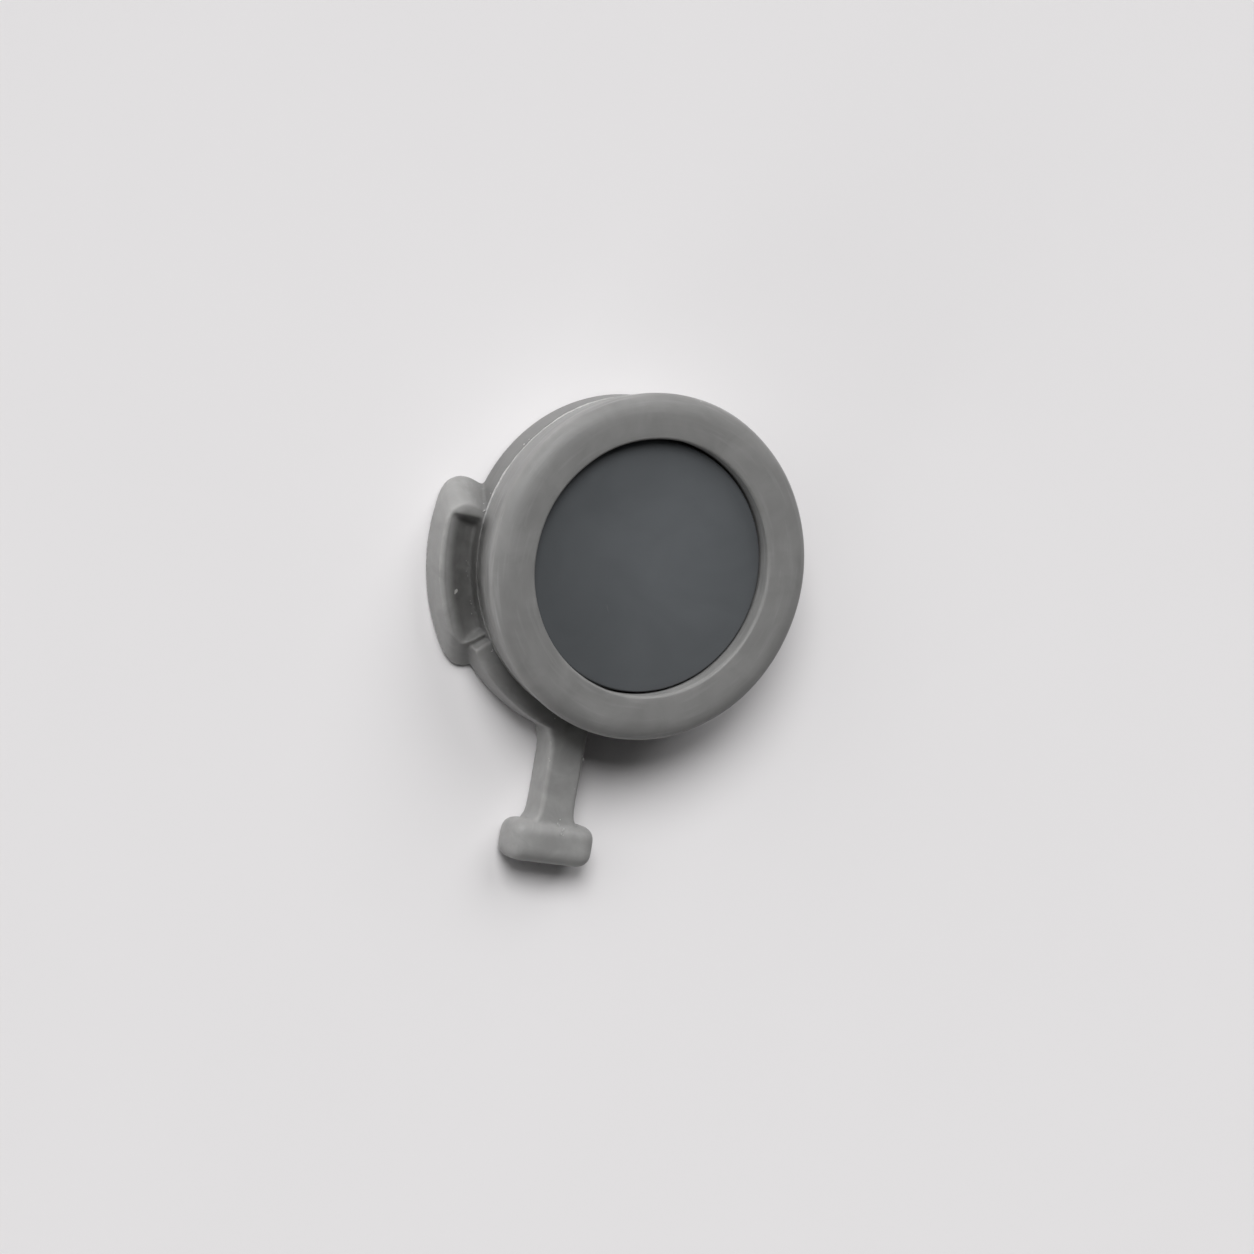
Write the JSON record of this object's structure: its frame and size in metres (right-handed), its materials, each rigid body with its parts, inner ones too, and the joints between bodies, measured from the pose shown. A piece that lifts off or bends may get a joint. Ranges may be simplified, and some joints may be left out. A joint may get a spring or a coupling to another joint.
{
  "type": "lid steam trap",
  "caption": "Small soft round steam trap for a lid: press disc hand vent in front, strainer behind, finger lug and a T-ended tether strap.",
  "frame": {"origin": "centre of the strainer plate's foot in the plane of the rear face, on the disc's axis", "axes": "+Z along the disc's axis and out of the front, -Y towards the tether strap, -X towards the finger lug"},
  "size_m": [0.0325, 0.0424, 0.0086],
  "materials": {
    "grey_silicone": "moulded, slightly cloudy mid grey silicone with a satin skin",
    "dark_plastic": "fine matt dark blue-grey plastic",
    "core_nylon": "moulded pale grey nylon",
    "stainless_steel": "plain stainless steel wire, sheet and turned rod",
    "bush_brass": "turned brass"
  },
  "bodies": {
    "housing": {"bezel_ring": "grey_silicone", "tether_collar": "grey_silicone", "core_body": "core_nylon", "strainer_ring": "stainless_steel", "strainer_plate": "core_nylon", "strainer_mesh": "stainless_steel", "seat_gasket": "grey_silicone", "seat_plate": "core_nylon", "stem_guide": "bush_brass", "baffle_ring": "core_nylon", "retaining_ring": "stainless_steel", "return_spring": "stainless_steel"},
    "hand_vent": {"face_disc": "dark_plastic", "disc_carrier": "core_nylon", "valve_stem": "stainless_steel", "seal_washer": "grey_silicone", "stem_clip": "stainless_steel"},
    "trap_valve": {"trap_disc": "stainless_steel"},
    "tether": {"tether_strap": "grey_silicone", "tether_toggle": "grey_silicone"}
  },
  "joints": [
    {"name": "disc_press", "type": "slide", "parent": "housing", "child": "hand_vent", "axis": [0, 0, -1], "range_m": [0, 0.00065], "stiffness_N_per_m": 900, "springref_m": -0.0004, "deforming": ["return_spring"]},
    {"name": "trap_lift", "type": "slide", "parent": "housing", "child": "trap_valve", "axis": [0, 0, 1], "range_m": [0, 0.0007]},
    {"name": "strap_bend", "type": "hinge", "parent": "housing", "child": "tether", "pos_m": [0.00062, -0.01886, 0.00167], "axis": [-0.9877, -0.1564, 0], "range_deg": [0, 90], "stiffness_Nm_per_rad": 0.004}
  ]
}
